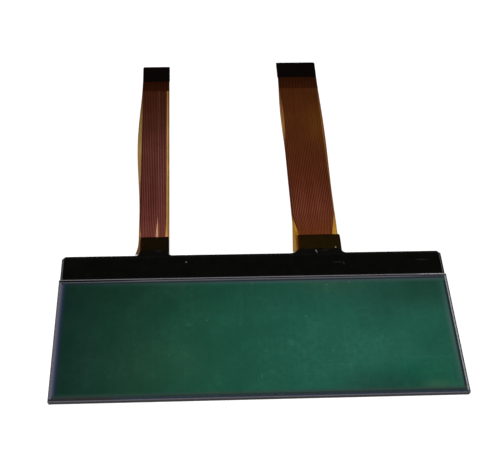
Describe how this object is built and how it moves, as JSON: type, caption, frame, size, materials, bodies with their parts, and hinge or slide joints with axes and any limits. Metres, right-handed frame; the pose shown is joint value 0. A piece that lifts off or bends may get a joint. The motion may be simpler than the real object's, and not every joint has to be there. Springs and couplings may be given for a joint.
{
  "type": "lcd module",
  "caption": "Bare chip-on-glass liquid crystal panel: a long green cell, a black coated contact ledge along its far side and a narrow and a wide amber film tail bonded to it.",
  "frame": {"origin": "middle of the display cell on its rear face, the reflector film that the module lies on", "axes": "+X along the panel, to the right as seen from its near edge; +Y from the panel towards the ends of the tails; +Z out of the viewing face"},
  "size_m": [0.1051, 0.1263, 0.0019],
  "materials": {
    "polarizer": "smooth dark green film, slightly hazy",
    "glass": "clear, ground seams at the edges",
    "seal": "satin navy epoxy",
    "silver_dot": "silver filled epoxy",
    "liquid_crystal": "fluid in the cell",
    "end_seal": "clear yellowish adhesive",
    "rear_polarizer": "smooth dark grey film",
    "reflector": "satin silver film",
    "silicon": "polished grey silicon",
    "conductive_film": "particle filled adhesive",
    "coating": "glossy black resin",
    "base_film": "amber polyimide, glossy",
    "copper": "copper, plated gold at the contacts",
    "cover_film": "amber polyimide with adhesive, satin",
    "root_tape": "dark olive brown film",
    "tip_film": "dark brown film",
    "stiffener": "satin black film"
  },
  "bodies": {
    "root": {"front_polarizer": "polarizer", "front_glass": "glass", "perimeter_seal": "seal", "transfer_dots": "silver_dot", "liquid_crystal": "liquid_crystal", "fill_port_plug": "end_seal", "rear_glass": "glass", "rear_polarizer": "rear_polarizer", "rear_reflector": "reflector", "driver_chip_left": "silicon", "driver_chip_right": "silicon", "chip_bond_left": "conductive_film", "chip_bond_right": "conductive_film", "ledge_coating": "coating", "left_base_film": "base_film", "left_traces": "copper", "left_coverlay": "cover_film", "left_bond_film": "conductive_film", "left_root_tape": "root_tape", "left_tip_film": "tip_film", "left_tip_stiffener": "stiffener", "right_base_film": "base_film", "right_traces": "copper", "right_coverlay": "cover_film", "right_bond_film": "conductive_film", "right_root_tape": "root_tape", "right_tip_film": "tip_film", "right_tip_stiffener": "stiffener"}
  },
  "joints": []
}
